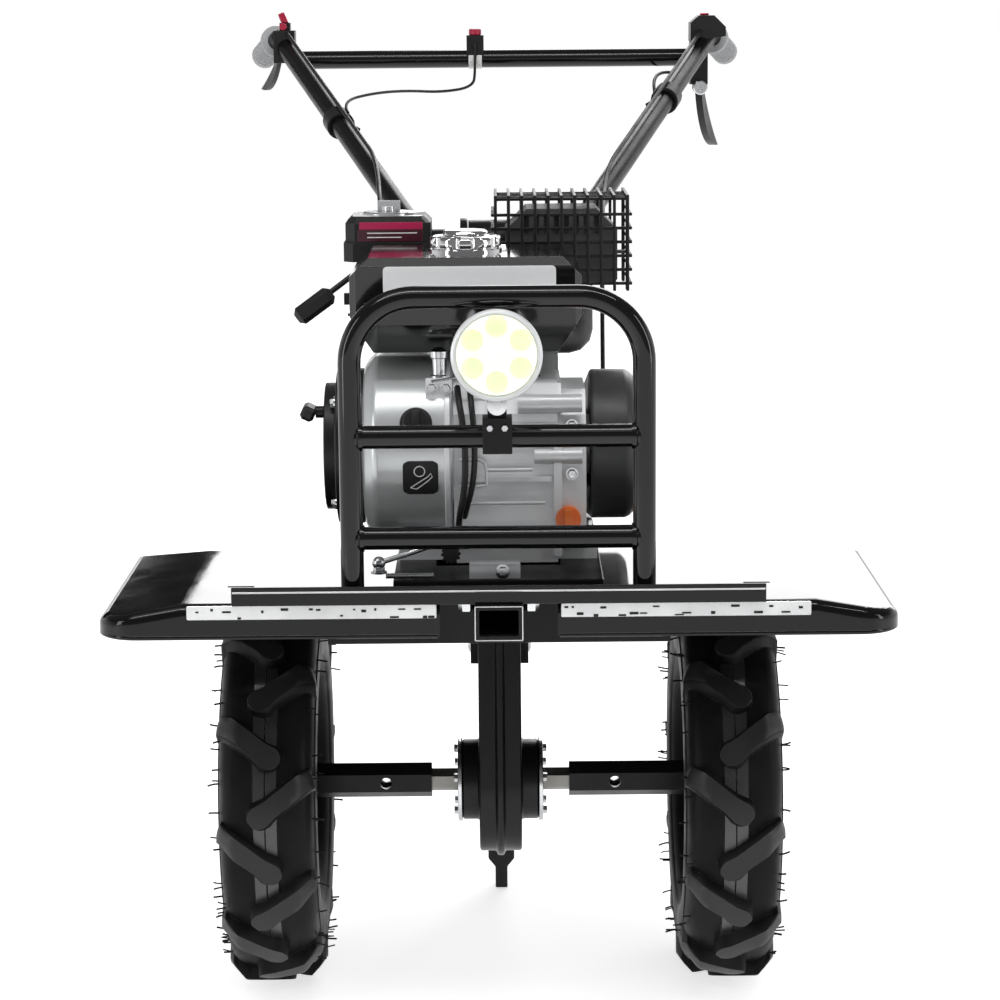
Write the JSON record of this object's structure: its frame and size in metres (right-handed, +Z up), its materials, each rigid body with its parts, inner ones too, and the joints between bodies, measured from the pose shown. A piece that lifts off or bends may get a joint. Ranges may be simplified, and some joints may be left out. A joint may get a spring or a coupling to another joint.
{
  "type": "power tiller",
  "caption": "Two-wheel walk-behind power tiller with a petrol engine behind a tube guard, wide fenders, lugged tyres on a hexagon axle, handlebars and a rear drag stake.",
  "frame": {"origin": "on the ground, at the middle of the overall length and of the overall width", "axes": "+Z up; the machine's front, with the lamp, faces -Y and the grips end at +Y; +X is the machine's left, the right of the picture"},
  "size_m": [0.768, 1.295, 1.0021],
  "materials": {
    "black_gloss": "gloss black paint",
    "black_satin": "satin black paint",
    "case_black": "satin black paint on cast iron",
    "silver_cast": "silver painted casting",
    "silver_sheet": "silver painted sheet",
    "zinc": "zinc plated",
    "chrome": "chromed",
    "black_plastic": "matt black plastic",
    "grey_plastic": "dark grey plastic",
    "tank_black": "gloss black",
    "orange_plastic": "orange plastic",
    "red_plastic": "red plastic",
    "lens": "clear lens over six light cells",
    "grip_rubber": "grey ribbed rubber",
    "cable_black": "black cable sheath",
    "tyre_rubber": "dark rubber",
    "muffler_black": "matt heat-proof black"
  },
  "bodies": {
    "chassis": {"chassis_frame": "black_satin", "front_beam": "black_satin", "front_bar": "black_gloss", "front_receiver": "black_satin", "fender_left": "black_gloss", "fender_right": "black_gloss", "guard_hoop": "black_gloss", "guard_bars": "black_gloss", "headlight_shell": "chrome", "headlight_lens": "lens", "headlight_bracket": "black_satin", "gearbox": "case_black", "drive_leg": "case_black", "bearing_caps": "zinc", "crankcase": "silver_cast", "oil_cap": "orange_plastic", "cylinder": "silver_cast", "blower_housing": "silver_sheet", "recoil_cover": "black_plastic", "recoil_handle": "black_plastic", "fuel_tank": "tank_black", "fuel_cap": "chrome", "air_cleaner": "black_plastic", "carburettor": "silver_cast", "engine_levers": "black_plastic", "muffler": "muffler_black", "muffler_cage": "muffler_black", "belt_cover": "grey_plastic", "shift_lever": "zinc", "rear_hitch": "black_satin", "drag_stake": "black_satin", "handle_column": "black_satin"},
    "handlebar": {"handle_yoke": "black_satin", "handle_tube_left": "black_gloss", "handle_tube_right": "black_gloss", "handle_crossbar": "black_gloss", "hand_grips": "grip_rubber", "control_left": "black_plastic", "control_right": "black_plastic", "stop_switch": "black_plastic", "red_caps": "red_plastic", "cable_clips": "black_plastic", "stop_wire": "cable_black", "throttle_cable": "cable_black", "clutch_cable": "cable_black"},
    "axle": {"axle_shaft": "zinc", "sleeve_left": "black_satin", "sleeve_right": "black_satin", "wheel_left": "black_gloss", "wheel_right": "black_gloss", "tyre_left": "tyre_rubber", "tyre_right": "tyre_rubber"}
  },
  "joints": [
    {"name": "axle_spin", "type": "hinge", "parent": "chassis", "child": "axle", "pos_m": [0, -0.3575, 0.207], "axis": [1, 0, 0], "continuous": true},
    {"name": "handlebar_tilt", "type": "hinge", "parent": "chassis", "child": "handlebar", "pos_m": [0, -0.1325, 0.752], "axis": [1, 0, 0], "range_deg": [-12, 18], "deforming": ["throttle_cable", "clutch_cable"]}
  ]
}
